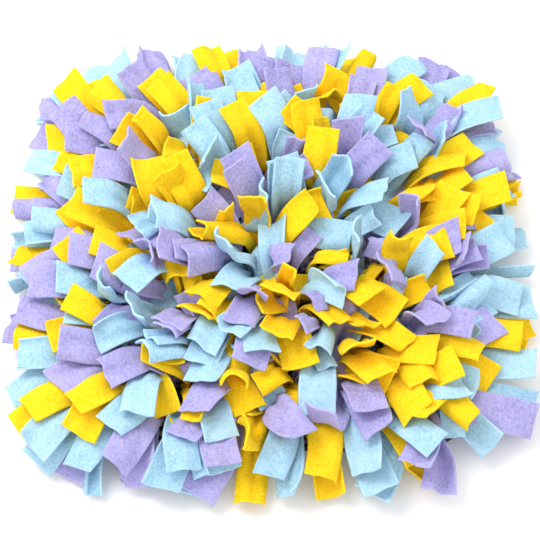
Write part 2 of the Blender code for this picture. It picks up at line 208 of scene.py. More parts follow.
# ---- which colours the strips have ----
BORDER_SHARES = (0.66, 0.21, 0.13)
INNER_SHARES = (0.28, 0.45, 0.27)
NEIGHBOUR_REACH = 1.2 * PITCH
NEIGHBOUR_SHARE = 0.18  # what a neighbour leaves of its colour's share


def ramp(values, start, reach):
    """Nought up to a start, one a reach further on, and evenly rising between."""
    return np.clip((values - start) / reach, 0, 1)


def running_sum(steps, axis=0):
    """The sum of the steps up to each place, from nought on."""
    nought = np.zeros_like(np.take(steps, [0], axis=axis))
    return np.concatenate([nought, np.cumsum(steps, axis=axis)], axis=axis)


def either_way(dice):
    """Minus one or one."""
    return dice.choice((-1, 1))


def linked(name, data):
    """A new object with data, in the scene."""
    item = bpy.data.objects.new(name, data)
    bpy.context.scene.collection.objects.link(item)
    return item


def unit(vectors):
    """Vectors scaled to a length of one."""
    return vectors / np.maximum(np.linalg.norm(vectors, axis=-1, keepdims=True), 1e-12)


def distinct_corners(node):
    """A solid's distinct corners, and the pairs of them that its triangles join."""
    mesh = frame["nodes"][node].data
    places = np.empty(len(mesh.vertices) * 3)
    mesh.vertices.foreach_get("co", places)
    loops = np.empty(len(mesh.loops), int)
    mesh.loops.foreach_get("vertex_index", loops)
    places = places.reshape(-1, 3)
    _, first, number = np.unique(
        np.round(places / NEAR).astype(int), axis=0, return_index=True, return_inverse=True
    )
    triangles = number.reshape(-1)[loops].reshape(-1, 3)
    pairs = np.concatenate([triangles[:, (0, 1)], triangles[:, (1, 2)], triangles[:, (2, 0)]])
    return places[first], np.unique(np.sort(pairs, axis=1), axis=0)


def beside(marked, pairs):
    """The corners joined to a marked one."""
    found = np.zeros_like(marked)
    found[pairs[marked[pairs[:, 0]], 1]] = True
    found[pairs[marked[pairs[:, 1]], 0]] = True
    return found


def section_of(four, toward):
    """Centre, upward normal and width of the rectangle with four corners; toward picks the side."""
    spans = four[1:] - four[0]
    order = np.argsort(np.linalg.norm(spans, axis=1))
    normal = unit(spans[order[0]])
    if normal @ toward < 0:
        normal = -normal
    return four.mean(axis=0), normal, float(np.linalg.norm(spans[order[1]]))


def ring_and_side(node):
    """A tuft's ring and its outward direction, which its name gives."""
    ring, side = node.split("_")[1][:2]
    return int(ring), np.array(OUTWARD[side], float)


def read_flaps(node):
    """The flaps of a tuft's solid. A flap is the corners joined to each other past one root.

    They are read row by row: first those joined to the root, then those joined to these, and
    so on. Each row of four gives the middle, the upward normal and the width of a section.
    """
    corners, pairs = distinct_corners(node)
    ring, outward = ring_and_side(node)
    line = (RINGS + 0.5 - ring) * PITCH
    offset = corners @ outward - line
    level = np.abs(corners[:, 2:] - FOLD_LEVELS).min(axis=1)
    fold = (np.abs(offset) < KNOT_HALF + NEAR) & (level < NEAR)
    roots = fold & (np.abs(corners[:, 2] - KNOT_TOP) < NEAR)
    waiting = ~fold
    flaps = []
    while waiting.any():
        own = np.zeros_like(waiting)
        own[np.flatnonzero(waiting)[0]] = True
        grown = own
        while grown.any():
            grown = beside(own, pairs) & waiting & ~own
            own = own | grown
        waiting &= ~own
        root = beside(own, pairs) & roots
        rows = []
        row = beside(root, pairs) & own
        seen = row
        while row.any():
            rows.append(corners[row])
            row = beside(row, pairs) & own & ~seen
            seen = seen | row
        if any(len(row) != 4 for row in rows) or root.sum() != 4:
            raise RuntimeError(f"{node}: a flap of its solid can't be read")
        toward = UP
        sections = []
        for row in reversed(rows):
            sections.insert(0, section_of(row, toward))
            toward = sections[0][1]
        middle = corners[root].mean(axis=0)
        side = middle @ outward - line
        flaps.append(
            dict(
                place=middle - outward * side,
                root=middle,
                inner=side < 0,
                fold=SOLID_FOLD,
                centres=np.array([section[0] for section in sections]),
                normals=np.array([section[1] for section in sections]),
                widths=np.array([section[2] for section in sections]),
            )
        )
    return sorted(flaps, key=lambda flap: (*np.round(flap["place"], 4), flap["inner"]))


def smooth_line(knots):
    """Many points of the cubic that passes through a few, with their share of the way along.

    Each tangent is the mean of the slopes on its two sides, each weighted by the other's length.
    """
    steps = np.linalg.norm(np.diff(knots, axis=0), axis=1)
    at = running_sum(steps)
    slopes = np.diff(knots, axis=0) / steps[:, None]
    tangents = np.empty_like(knots)
    tangents[0] = slopes[0]
    tangents[-1] = slopes[-1]
    before = steps[:-1, None]
    after = steps[1:, None]
    tangents[1:-1] = (slopes[:-1] * after + slopes[1:] * before) / (before + after)
    where = np.linspace(0, at[-1], LINE_SAMPLES)
    piece = np.clip(np.searchsorted(at, where, side="right") - 1, 0, len(steps) - 1)
    long = steps[piece][:, None]
    t = (where - at[piece])[:, None] / long
    points = (
        (2 * t**3 - 3 * t**2 + 1) * knots[piece] + (t**3 - 2 * t**2 + t) * long * tangents[piece]
        + (3 * t**2 - 2 * t**3) * knots[piece + 1] + (t**3 - t**2) * long * tangents[piece + 1]
    )
    return points, where / at[-1], at / at[-1]


def each(where, at, values):
    """Values known at a few places, interpolated at others, column by column."""
    values = np.asarray(values, float)
    if values.ndim == 1:
        return np.interp(where, at, values)
    return np.stack([np.interp(where, at, column) for column in values.T], axis=-1)


def grid_normals(grid):
    """Unit normals of a grid of points: the cross product of its two directions."""
    return unit(np.cross(np.gradient(grid, axis=1), np.gradient(grid, axis=0)))


def edge_round(distance):
    """The share of its thickness that cloth has at a distance from its cut edge, an arc's."""
    near = ramp(distance, 0, EDGE_REACH)
    return (1 - (1 - near) ** EDGE_POWER) ** (1 / EDGE_POWER)


def across_shares(width):
    """Places across a strip, from -1 to 1: even ones, and close ones by its two edges."""
    close = 1 - 2 * np.array(EDGE_STEPS) / width
    even = np.linspace(-close[-1], close[-1], COLUMNS + 2)[1:-1]
    return np.concatenate([-close, even, close[::-1]])


def fold_over(points, normals, way, start, reach, turn):
    """A line bent further from a place on: its direction turns towards its normal by a smooth step.

    The line is added up again from its turned steps, so its length stays the same.
    """
    t = ramp(way, start, reach)
    angle = (turn * t * t * (3 - 2 * t))[:, None]
    steps = np.diff(points, axis=0)
    long = np.linalg.norm(steps, axis=1, keepdims=True)
    ahead = steps / long
    up = unit(normals[1:] - ahead * np.sum(normals[1:] * ahead, axis=1, keepdims=True))
    turned = ahead * np.cos(angle[1:]) + up * np.sin(angle[1:])
    bent = points[0] + running_sum(turned * long)
    lifted = up * np.cos(angle[1:]) - ahead * np.sin(angle[1:])
    return bent, np.concatenate([normals[:1], lifted])


def centre_line(flap, fleece, dice, lively):
    """A flap's bent centre line and normals, and the gathered share of its width along it.

    The line is a cubic through the knot, the root and the middles of the solid's sections. Some
    flaps fold over further on, and others that rise to their tips bend down.
    """
    core = flap["place"] * 0.5 + flap["root"] * 0.5 - UP * fleece.knot_sink
    points, where, at = smooth_line(np.vstack([core, flap["root"], flap["centres"]]))
    first = flap["normals"][:1]
    normals = each(where, at, np.vstack([first, first, flap["normals"]]))
    fold_share, fold_most = flap["fold"]
    if dice.random() < fold_share:
        turn = lively * either_way(dice) * dice.uniform(FOLD_TURN_LEAST, fold_most)
        start = dice.uniform(*FOLD_AT)
        points, normals = fold_over(points, normals, where, start, FOLD_REACH, turn)
    elif points[-1, 2] > points[-END_SAMPLES, 2]:
        last = points[-1] - points[-END_SAMPLES]
        turn = -lively * math.atan2(last[2], math.hypot(last[0], last[1])) * dice.uniform(*SAG)
        start = dice.uniform(*SAG_AT)
        points, normals = fold_over(points, normals, where, start, SAG_REACH, turn)
    full = min(fleece.strip_width, flap["widths"][-1] * WIDER)
    pinch = 2 * KNOT_HALF / full
    gather = each(where, at, np.concatenate([[pinch, pinch * ROOT_WIDE], flap["widths"] / full]))
    return points, normals, gather, full


def across_angle(u, v, gather, fleece, dice, lively):
    """The cloth's angle across a flap, at shares u along it and v across it, and its pleats' phase.

    It is an arc's angle, which eases from the root's to the tip's, plus a sine, the pleats, as
    steep as the solid's gathered width needs, plus a curl along one edge and, on some, a step, a
    crease that runs along the flap.
    """
    root_arc = np.clip(dice.normal(0, ROOT_ARC), -ROOT_ARC_MOST, ROOT_ARC_MOST)
    tip_arc = dice.normal(0, TIP_ARC)
    if dice.random() < fleece.cupped_share:
        tip_arc = lively * either_way(dice) * dice.uniform(*CUPPED_ARC)
    pleats = dice.uniform(*PLEATS)
    phase = dice.uniform(0, TURN)
    curl_side = either_way(dice)
    curl = lively * dice.uniform(0, CURL_MOST) * (dice.random() < CURLED_SHARE) * either_way(dice)
    steep = PLEAT_SLOPE * np.sqrt(np.clip(1 - gather, 0, PLEAT_MOST))
    arc = root_arc * (1 - u) ** ARC_POWER + tip_arc * u
    angle = arc / 2 * v * fleece.curl + steep * np.sin(math.pi * pleats * v + phase)
    edge = ramp(curl_side * v, *CURL_PART)
    angle = angle + fleece.curl * curl * u**CURL_POWER * edge * curl_side
    if dice.random() < fleece.creased_share:
        crease = lively * either_way(dice) * dice.uniform(*CREASE_TURN)
        middle = dice.uniform(-CREASE_OFF, CREASE_OFF) + dice.normal(0, CREASE_DRIFT) * (u - 0.5)
        share = CREASE_FADE[0] - CREASE_FADE[1] * u
        angle = angle + crease * share * np.tanh((v - middle) / CREASE_WIDTH)
    return angle, phase


def lifts(u, v, fleece, dice, lively):
    """How far the cloth stands off its section: the tip's droop, its corners, and the ripples.

    The droop goes with the square of the way past its start, the corners with the square of the
    way out to them, and the ripples are two slow sines.
    """
    droop = lively * dice.normal(0, DROOP) * ramp(u, *DROOP_PART) ** 2
    corner = lively * dice.normal(0, fleece.corner_lift, 2)
    out = ramp(np.abs(v), *CORNER_PART) ** 2
    corners = np.where(v > 0, corner[0], corner[1]) * out * u**3
    turns = dice.uniform(*RIPPLE_TURNS, 4)
    start = dice.uniform(0, TURN, 2)
    ripple = fleece.ripple * u * (
        np.sin(TURN * (turns[0] * u + turns[1] * v / 2) + start[0])
        + np.sin(TURN * (turns[2] * u - turns[3] * v / 2) + start[1])
    )
    return droop, corners, ripple


def flap_grid(flap, fleece, dice, lively=1.0):
    """A grid of points on a flap's middle surface, with each one's place on the cut strip.

    Each section is added up from the cosine and the sine of the cloth's angle across the flap, so
    the cloth keeps its width. The sections stand along the centre line and roll about it. How
    lively the flap is scales all but the pleats.
    """
    points, normals, gather, full = centre_line(flap, fleece, dice, lively)
    run = running_sum(np.linalg.norm(np.diff(points, axis=0), axis=1))
    stations = np.concatenate(
        [np.linspace(0, run[-1] - EDGE_REACH, ROWS), run[-1] - np.array(EDGE_STEPS[-2::-1])]
    )
    centre = each(stations, run, points)
    along = unit(np.gradient(centre, stations, axis=0))
    normal = each(stations, run, normals)
    normal = unit(normal - along * np.sum(normal * along, axis=1, keepdims=True))
    u = (stations / run[-1])[:, None]
    roll = lively * dice.normal(0, ROLL) * u**2
    normal = normal * np.cos(roll) + np.cross(along, normal) * np.sin(roll)
    across = np.cross(along, normal)
    gather = np.interp(stations, run, gather)[:, None]
    v = across_shares(full)[None, :]
    angle, phase = across_angle(u, v, gather, fleece, dice, lively)
    step = np.diff(v, axis=1) * full / 2
    half = (angle[:, 1:] + angle[:, :-1]) / 2
    side = running_sum(np.cos(half) * step, axis=1)
    rise = running_sum(np.sin(half) * step, axis=1)
    side = side - (side[:, :1] + side[:, -1:]) / 2
    rise = rise - rise.mean(axis=1, keepdims=True)
    for lift in lifts(u, v, fleece, dice, lively):
        rise = rise + lift
    skew = dice.normal(0, SKEW) * u**4 * v * full / 2
    side = side * (1 + WAIST * np.sin(TURN * (dice.uniform(*WAIST_TURNS) * u) + phase))
    grid = (
        centre[:, None] + along[:, None] * skew[..., None] + across[:, None] * side[..., None]
        + normal[:, None] * rise[..., None]
    )
    grid[..., 2] = np.maximum(grid[..., 2], fleece.thickness * LOWEST)
    distance = np.minimum((1 - np.abs(v)) * full / 2, (1 - u) * run[-1])
    cloth = np.stack(np.broadcast_arrays(v * full / 2, u * run[-1]), axis=-1)
    return grid, distance, cloth


def plain_grid(flap):
    """A flap's grid as its solid has it: the line through its sections, straight across."""
    points, where, at = smooth_line(np.vstack([flap["root"], flap["centres"]]))
    normals = each(where, at, np.vstack([flap["normals"][:1], flap["normals"]]))
    widths = each(where, at, np.concatenate([[2 * KNOT_HALF], flap["widths"]]))
    across = unit(np.cross(np.gradient(points, axis=0), normals)) * widths[:, None] / 2
    return points[:, None] + across[:, None] * np.linspace(-1, 1, TEST_COLUMNS)[None, :, None]


def quads_of(number):
    """The quads between the neighbours of a grid of corner numbers, in one direction round."""
    near, far = number[..., :-1, :], number[..., 1:, :]
    corners = (near[..., :-1], near[..., 1:], far[..., 1:], far[..., :-1])
    return np.stack(corners, axis=-1).reshape(-1, 4)


def sheet_shell(grid, distance, cloth, thickness):
    """The closed skin round a grid of points: it is moved to both sides along its normals.

    Half the thickness is rounded off by its edges, where the two sides share their corners.
    """
    rows, columns = grid.shape[:2]
    normal = grid_normals(grid) * (edge_round(distance) * thickness / 2)[..., None]
    inside = np.zeros((rows, columns), bool)
    inside[1:-1, 1:-1] = True
    normal[~inside] = 0
    top = np.arange(rows * columns).reshape(rows, columns)
    bottom = top.copy()
    bottom[inside] = rows * columns + np.arange(inside.sum())
    points = np.concatenate([(grid + normal).reshape(-1, 3), (grid - normal)[inside]])
    marks = np.concatenate([distance.reshape(-1), distance[inside]])
    laid = np.concatenate([cloth.reshape(-1, 2), cloth[inside]])
    quads = np.concatenate([quads_of(top), quads_of(bottom)[:, (0, 3, 2, 1)]])
    return points, quads, marks, laid


def tube(path, side, up, profile, closed):
    """A profile, in (side, up) offsets, carried along a path; an open one's ends are closed.

    Row by row, each point is the path's plus the side vector times the first offset plus the up
    vector times the second.
    """
    rows, count = len(path), profile.shape[-2]
    profile = np.broadcast_to(profile, (rows, count, 2))
    points = path[:, None] + side[:, None] * profile[..., :1] + up[:, None] * profile[..., 1:]
    number = np.arange(rows * count).reshape(rows, count)
    if closed:
        number = np.vstack([number, number[:1]])
    faces = quads_of(np.column_stack([number, number[:, 0]])).tolist()
    if not closed:
        faces += [number[0, ::-1].tolist(), number[-1].tolist()]
    return points.reshape(-1, 3), faces


def rounded_profile(width, height, steps=3, power=2.6):
    """Points round a rounded rectangle, a superellipse, anticlockwise."""
    angle = np.arange(4 * steps) * TURN / (4 * steps)
    cosine, sine = np.cos(angle), np.sin(angle)
    return np.stack(
        [
            width / 2 * np.sign(cosine) * np.abs(cosine) ** (2 / power),
            height / 2 * np.sign(sine) * np.abs(sine) ** (2 / power),
        ],
        axis=-1,
    )


def ahead_round(path):
    """The direction of a closed path at each of its points."""
    return unit(np.roll(path, -1, axis=0) - np.roll(path, 1, axis=0))


def fold_tube(place, along, outward, fleece, mesh):
    """The bunched cloth under a bar: down one side, a half ellipse below it, and up the other."""
    half = mesh.bar_width / 2 + fleece.thickness * FOLD_OFF
    foot = fleece.thickness * LOWEST
    turn = foot + half
    angle = np.linspace(0, math.pi, FOLD_POINTS)
    offset = np.concatenate([[-half], -half * np.cos(angle), [half]])
    low = turn - (turn - foot) * np.sin(angle)
    height = np.concatenate([[FOLD_TOP], low, [FOLD_TOP]])
    path = place * (1, 1, 0) + offset[:, None] * outward + height[:, None] * UP
    ahead = unit(np.gradient(path, axis=0))
    side = np.broadcast_to(along, path.shape)
    up = np.cross(ahead, side)
    width = mesh.cell - mesh.bar_width - FOLD_GAP
    profile = rounded_profile(width, fleece.thickness * FOLD_THICK, steps=2)
    return tube(path, side, up, profile, False)


def knot_tube(place, along, outward, turn, fleece):
    """A strip's overhand knot: a flattened trefoil with the uneven section of a folded strip."""
    t = np.linspace(0, TURN, KNOT_POINTS, endpoint=False)
    reach = 2 + np.cos(3 * t)
    length, breadth, height = KNOT_SPANS
    x, y = reach * np.cos(2 * t) * length, reach * np.sin(2 * t) * breadth
    x, y = x * math.cos(turn) - y * math.sin(turn), x * math.sin(turn) + y * math.cos(turn)
    z = np.sin(3 * t) * height + fleece.knot_height
    path = place * (1, 1, 0) + x[:, None] * along + y[:, None] * outward + z[:, None] * UP
    ahead = ahead_round(path)
    side = unit(np.cross(ahead, UP))
    up = np.cross(side, ahead)
    angle = np.linspace(0, TURN, KNOT_SIDES, endpoint=False)[None, :] + math.pi / 4
    uneven = 1 + KNOT_UNEVEN * np.cos(2 * angle + 3 * t[:, None])
    radius = fleece.thickness * KNOT_RADIUS * uneven
    profile = np.stack([radius * np.cos(angle), radius * np.sin(angle)], axis=-1)
    return tube(path, side, up, profile, True)


def add_piece(name, parts, material):
    """One object from parts: points, faces, distances from a cut edge, cloth places and tint."""
    mesh = bpy.data.meshes.new(name)
    points, faces, marks, laid, tints = [], [], [], [], []
    start = 0
    for part_points, part_faces, part_marks, part_laid, part_tint in parts:
        points.append(part_points)
        faces += [tuple(start + corner for corner in face) for face in part_faces]
        marks.append(part_marks)
        laid.append(part_laid)
        tints.append(np.full(len(part_points), part_tint))
        start += len(part_points)
    mesh.from_pydata(np.concatenate(points).tolist(), [], faces)
    corner = np.empty(len(mesh.loops), int)
    mesh.loops.foreach_get("vertex_index", corner)
    uv = mesh.uv_layers.new(name="Cloth")
    uv.data.foreach_set("uv", np.concatenate(laid)[corner].astype(np.float32).reshape(-1))
    for title, values in (("cut_edge", marks), ("tint", tints)):
        layer = mesh.attributes.new(title, "FLOAT", "POINT")
        layer.data.foreach_set("value", np.concatenate(values).astype(np.float32))
    mesh.materials.append(material)
    mesh.shade_smooth()
    mesh.update()
    return linked(name, mesh)


def plain_part(points, faces, tint=0):
    """A part with no cut edge near, whose places on the cloth are read from its shape."""
    laid = np.stack([points[:, 0] + points[:, 1], points[:, 2] * 2], axis=-1)
    return points, faces, np.full(len(points), NO_EDGE), laid, tint


class Pile:
    """The cloth laid so far, for finding what a new flap would meet and what it would cover."""

    def __init__(self):
        self.lows = np.empty((0, 3))
        self.highs = np.empty((0, 3))
        self.trees = []
        middle = (np.arange(MAP_COUNT) + 0.5) * MAP_CELL - MAT_REACH
        over = np.abs(middle) < GRID_BOX[1][0]
        self.worth = np.where(np.outer(over, over), OVER_MESH, 1.0).reshape(-1)
        self.cover = np.zeros(MAP_COUNT**2, int)
        self.top = np.zeros(MAP_COUNT**2)

    def add(self, low, high, tree):
        """Adds a tree of faces and its box."""
        self.lows = np.vstack([self.lows, low])
        self.highs = np.vstack([self.highs, high])
        self.trees.append(tree)

    def clear_of(self, number):
        """Takes a tree away, for another to be added in its place."""
        self.lows[number] = self.highs[number] = math.inf

    def add_box(self, low, high):
        """Adds a box that flaps keep out of as they do of each other."""
        low, high = np.array(low, float), np.array(high, float)
        corners = list(itertools.product(*zip(low, high)))
        faces = [(0, 1, 3, 2), (4, 6, 7, 5), (0, 4, 5, 1), (2, 3, 7, 6), (0, 2, 6, 4), (1, 5, 7, 3)]
        self.add(low, high, BVHTree.FromPolygons(corners, faces))

    def add_flap(self, grid, thickness):
        """Adds a flap, and what it covers."""
        self.add(*flap_tree(grid, thickness)[:3])
        cells = map_cells(grid)
        self.cover[np.unique(cells)] += 1
        np.maximum.at(self.top, cells, grid[..., 2].reshape(-1))

    def meetings(self, low, high, tree, middles):
        """How many of a flap's faces meet the pile's; those under its top count for less."""
        depth = self.top[map_cells(middles)] - middles[:, 2]
        weight = np.clip(1 - depth / DEEP, DEEP_WEIGHT, 1)
        near = np.flatnonzero(np.all((self.lows < high) & (self.highs > low), axis=1))
        met = [pair[0] for number in near for pair in tree.overlap(self.trees[number])]
        return float(weight[met].sum())

    def gain(self, grid):
        """What covering bare cells is worth, more over the mesh, and how many cells are on top."""
        cells = map_cells(grid)
        on_top = np.unique(cells[grid[..., 2].reshape(-1) > self.top[cells] + ON_TOP])
        cells = np.unique(cells)
        return self.worth[cells[self.cover[cells] == 0]].sum(), len(on_top)


def map_cells(points):
    """The map's cells, as numbers, under points."""
    at = np.clip(((points[..., :2] + MAT_REACH) / MAP_CELL).astype(int), 0, MAP_COUNT - 1)
    return (at[..., 0] * MAP_COUNT + at[..., 1]).reshape(-1)


def flap_tree(grid, thickness):
    """The box and the tree of a flap's two faces, on a coarser grid, and its faces' middles."""
    rows = np.linspace(ROOT_SKIP, len(grid) - 1, TEST_ROWS).round().astype(int)
    columns = np.linspace(0, grid.shape[1] - 1, TEST_COLUMNS).round().astype(int)
    coarse = grid[np.ix_(rows, columns)]
    raised = grid_normals(coarse) * thickness * TEST_HALF
    points = np.stack([coarse + raised, coarse - raised]).reshape(-1, 3)
    number = np.arange(len(points)).reshape(2, TEST_ROWS, TEST_COLUMNS)
    faces = quads_of(number)
    tree = BVHTree.FromPolygons(points.tolist(), faces.tolist())
    return points.min(axis=0), points.max(axis=0), tree, points[faces].mean(axis=1)


def free_flap(place, heading, fleece, dice):
    """A flap of no solid: it leaves its knot steeply and bends over, turning and rolling.

    Its direction's slope falls from steep to flat with a power of the way along, and its heading
    and its roll about that direction change evenly. Adding the direction up gives the sections.
    """
    length = fleece.flap_length * dice.uniform(*FREE_LENGTH)
    way = np.linspace(0, 1, FREE_POINTS)
    steep = math.radians(dice.uniform(*FREE_STEEP))
    flat = math.radians(dice.uniform(*FREE_FLAT))
    slope = steep + (flat - steep) * way ** dice.uniform(*FREE_BEND)
    turn = heading + math.radians(dice.normal(0, FREE_TURN)) * way
    level = np.stack([np.cos(turn), np.sin(turn), np.zeros_like(turn)], axis=-1)
    ahead = level * np.cos(slope)[:, None] + UP * np.sin(slope)[:, None]
    normal = UP * np.cos(slope)[:, None] - level * np.sin(slope)[:, None]
    root_roll, tip_roll = (math.radians(dice.normal(0, spread)) for spread in FREE_ROLL)
    roll = root_roll * (1 - way) + tip_roll * way
    normal = normal * np.cos(roll)[:, None] + np.cross(ahead, normal) * np.sin(roll)[:, None]
    root = place * (1, 1, 0) + level[0] * KNOT_HALF / 2 + UP * KNOT_TOP
    line = root + running_sum((ahead[1:] + ahead[:-1]) / 2 * (length / (FREE_POINTS - 1)))
    return dict(
        place=np.array((*place[:2], KNOT_TOP)),
        root=root,
        fold=FREE_FOLD,
        centres=line[list(FREE_TAKEN)],
        normals=normal[list(FREE_TAKEN)],
        widths=fleece.strip_width * np.array(FREE_WIDTHS),
    )


def in_reach(grid):
    """Whether a flap stays above the floor and the mesh and inside the solids' box."""
    points = grid[ROOT_SKIP:].reshape(-1, 3)
    low, high = (np.array(corner) for corner in CAD_BOX)
    base_low, base_high = (np.array(corner) for corner in GRID_BOX)
    over = np.all((points[:, :2] > base_low[:2]) & (points[:, :2] < base_high[:2]), axis=1)
    return (
        np.all(points[:, :2] > low[:2] - BOX_MARGIN)
        and np.all(points[:, :2] < high[:2] + BOX_MARGIN)
        and points[:, 2].max() < high[2] - TOP_MARGIN and points[:, 2].min() > CLEARANCE
        and (not over.any() or points[over, 2].min() > BAR_TOP + CLEARANCE)
    )


def nested_flap(place, model, fleece, dice):
    """A flap laid along another: a little over or under it, and swung round towards one side."""
    way = np.linspace(0, 1, len(model["centres"]) + 1)[1:, None]
    over = either_way(dice) * dice.uniform(*NESTED_OVER)
    shift = (place - model["place"]) * (1, 1, 0)
    root = model["root"] + shift
    swing = math.radians(dice.normal(0, NESTED_SWING))
    cosine, sine = math.cos(swing), math.sin(swing)
    turned = np.array(((cosine, -sine, 0), (sine, cosine, 0), (0, 0, 1)))
    centres = model["centres"] + model["normals"] * over + shift * (1 - way) ** NESTED_EASE
    return dict(
        place=np.array((*place[:2], KNOT_TOP)),
        root=root,
        fold=NESTED_FOLD,
        centres=(centres - root) @ turned.T + root,
        normals=model["normals"] @ turned.T,
        widths=np.maximum(model["widths"], fleece.strip_width * NESTED_WIDTH),
    )


def lay_solid_flap(flap, pile, fleece, dice):
    """A solid's flap: of its ways to curl, each less than the last, the one that meets least."""
    pile.clear_of(flap["number"])
    best = None
    for number in range(SOLID_TRIES):
        sheet = flap_grid(flap, fleece, dice, LIVELY - number / SOLID_TRIES)
        count = pile.meetings(*flap_tree(sheet[0], fleece.thickness))
        if best is None or count < best[0]:
            best = (count, sheet)
        if count < FEW:
            break
    pile.add_flap(best[1][0], fleece.thickness)
    return best[1]


def crossing(flap, place):
    """How far across the mat's radius a flap lies, seen from above: the sine of its angle to it."""
    away, radius = unit((flap["centres"][-1] - flap["root"])[:2]), unit(place[:2])
    return abs(away[0] * radius[1] - away[1] * radius[0])


def lay_free_flap(place, heading, spread, models, pile, fleece, dice):
    """A free flap: of many ways to lie, the one that shows and covers most and meets least."""
    best = None
    for number in range(FREE_TRIES):
        if number % NESTED_EVERY == 0 and models:
            flap = nested_flap(place, models[dice.integers(len(models))], fleece, dice)
        else:
            flap = free_flap(place, heading + dice.normal(0, spread), fleece, dice)
        sheet = flap_grid(flap, fleece, dice)
        if not in_reach(sheet[0]):
            continue
        bare, seen = pile.gain(sheet[0])
        score = BARE_WORTH * bare + seen + ACROSS_WORTH * crossing(flap, place)
        if best is not None and score <= best[0]:
            continue
        score -= MEETING_COST * pile.meetings(*flap_tree(sheet[0], fleece.thickness))
        if best is None or score > best[0]:
            best = (score, sheet, flap)
    if best is None or best[0] < LEAST_WORTH:
        return None
    pile.add_flap(best[1][0], fleece.thickness)
    models.append(best[2])
    return best[1]


def pick_colour(place, strips, fleece, dice):
    """A strip's colour: mostly blue by the border, mixed inside, and seldom its neighbours'."""
    border = np.abs(place[:2]).max() > fleece.border
    shares = np.array(BORDER_SHARES if border else INNER_SHARES)
    for strip in strips:
        if np.linalg.norm(strip["place"][:2] - place[:2]) < NEIGHBOUR_REACH:
            shares[COLOURS.index(strip["slot"])] *= NEIGHBOUR_SHARE
    return COLOURS[dice.choice(3, p=shares / shares.sum())]


def new_strip(place, outward, ring, slot, node, dice):
    """What is known of a strip before its flaps are laid."""
    along = np.array((-outward[1], outward[0], 0.0))
    return dict(
        place=place, outward=outward, along=along, ring=ring, slot=slot, node=node,
        tint=dice.uniform(-1, 1), turn=dice.uniform(-KNOT_TURN, KNOT_TURN), sheets=[],
    )


def solid_strips(pile, fleece, dice):
    """The strips of the solids' tufts, curled so that they keep clear of each other."""
    strips = []
    for part in frame["record"]["subparts"]:
        node = part["node"]
        if not node.startswith("tuft_"):
            continue
        ring, outward = ring_and_side(node)
        own = {}
        for flap in read_flaps(node):
            own.setdefault(tuple(np.round(flap["place"], 4)), []).append(flap)
        for number, flaps in enumerate(own.values()):
            place = flaps[0]["place"]
            slot = pick_colour(place, strips, fleece, dice) if number else part["material_slot"]
            strips.append(new_strip(place, outward, ring, slot, node, dice))
            strips[-1]["flaps"] = flaps
            for flap in flaps:
                flap["number"] = len(pile.trees)
                pile.add(*flap_tree(plain_grid(flap), fleece.thickness)[:3])
    for strip in strips:
        strip["sheets"] = [lay_solid_flap(flap, pile, fleece, dice) for flap in strip["flaps"]]
    return strips


def free_places():
    """The places midway between the solids' strips, each with its outward side and its ring."""
    reach = range(1 - RINGS, RINGS)
    found = []
    for row, column in itertools.product(reach, reach):
        outward = np.zeros(3)
        if abs(column) > abs(row):
            outward[0] = math.copysign(1, column)
        else:
            outward[1] = math.copysign(1, row)
        place = np.array((column * PITCH, row * PITCH, KNOT_TOP))
        found.append((place, outward, max(abs(row), abs(column))))
    return found


def free_strips(strips, pile, fleece, mesh, dice):
    """The strips between the tufts, from the middle out: first one flap of each, then the other."""
    places = sorted(free_places(), key=lambda found: (found[2], *found[0]))
    added = []
    for place, outward, steps in places:
        place = place + outward * mesh.cell / 2
        slot = pick_colour(place, strips + added, fleece, dice)
        added.append(new_strip(place, outward, RINGS - steps, slot, None, dice))
        pile.add_box(place - KNOT_ROOM, place + KNOT_ROOM * (1, 1, 0))
    for share in (0, 1):
        for strip in added:
            place = strip["place"]
            if share:
                heading = strip["heading"] + math.pi
            elif np.abs(place[:2]).max() < CENTRE:
                heading = dice.uniform(0, TURN)
            else:
                heading = math.atan2(place[1], place[0])
            spread = HEADING[bool(share or strip["ring"] > OUTER_RINGS)]
            strip["heading"] = heading
            models = [
                flap for other in strips for flap in other["flaps"]
                if np.linalg.norm(flap["place"][:2] - place[:2]) < NESTED_REACH
            ]
            sheet = lay_free_flap(place, heading, spread, models, pile, fleece, dice)
            if sheet is not None:
                strip["sheets"].append(sheet)
    return [strip for strip in added if strip["sheets"]]


def titles(settings):
    """The names of a group's own settings."""
    return [name for name in settings.bl_rna.properties.keys() if name not in ("rna_type", "name")]


def all_strips(fleece, mesh):
    """Every strip, laid once for the settings as they stand."""
    key = repr([mesh.cell, *(getattr(fleece, title) for title in titles(fleece))])
    if key not in STRIPS:
        dice = np.random.default_rng(fleece.seed)
        pile = Pile()
        for opening in frame["record"]["physics"]["openings"]:
            pile.add_box(*opening["box_m"])
        solid = solid_strips(pile, fleece, dice)
        STRIPS[key] = solid + free_strips(solid, pile, fleece, mesh, dice)
    return STRIPS[key]


def strip_parts(strip, fleece, mesh, number):
    """One strip's flaps, its knot and its fold under the bar; its length and area when cut flat."""
    parts = []
    length = fleece.knot_length
    area = fleece.knot_length * fleece.strip_width
    for sheet in strip["sheets"]:
        points, faces, marks, laid = sheet_shell(*sheet, fleece.thickness)
        laid = laid + (number * CLOTH_STEP[0], len(parts) * CLOTH_STEP[1])
        parts.append((points, faces.tolist(), marks, laid, strip["tint"]))
        width, reach = np.ptp(sheet[2][..., 0]), np.ptp(sheet[2][..., 1])
        length += float(reach)
        area += float(width * reach)
    shift = strip["along"] * mesh.cell / 2 if strip["node"] else 0
    fold = fold_tube(strip["place"] + shift, strip["along"], strip["outward"], fleece, mesh)
    parts.append(plain_part(*fold, strip["tint"]))
    knot = knot_tube(strip["place"], strip["along"], strip["outward"], strip["turn"], fleece)
    parts.append(plain_part(*knot, strip["tint"]))
    return parts, length, area


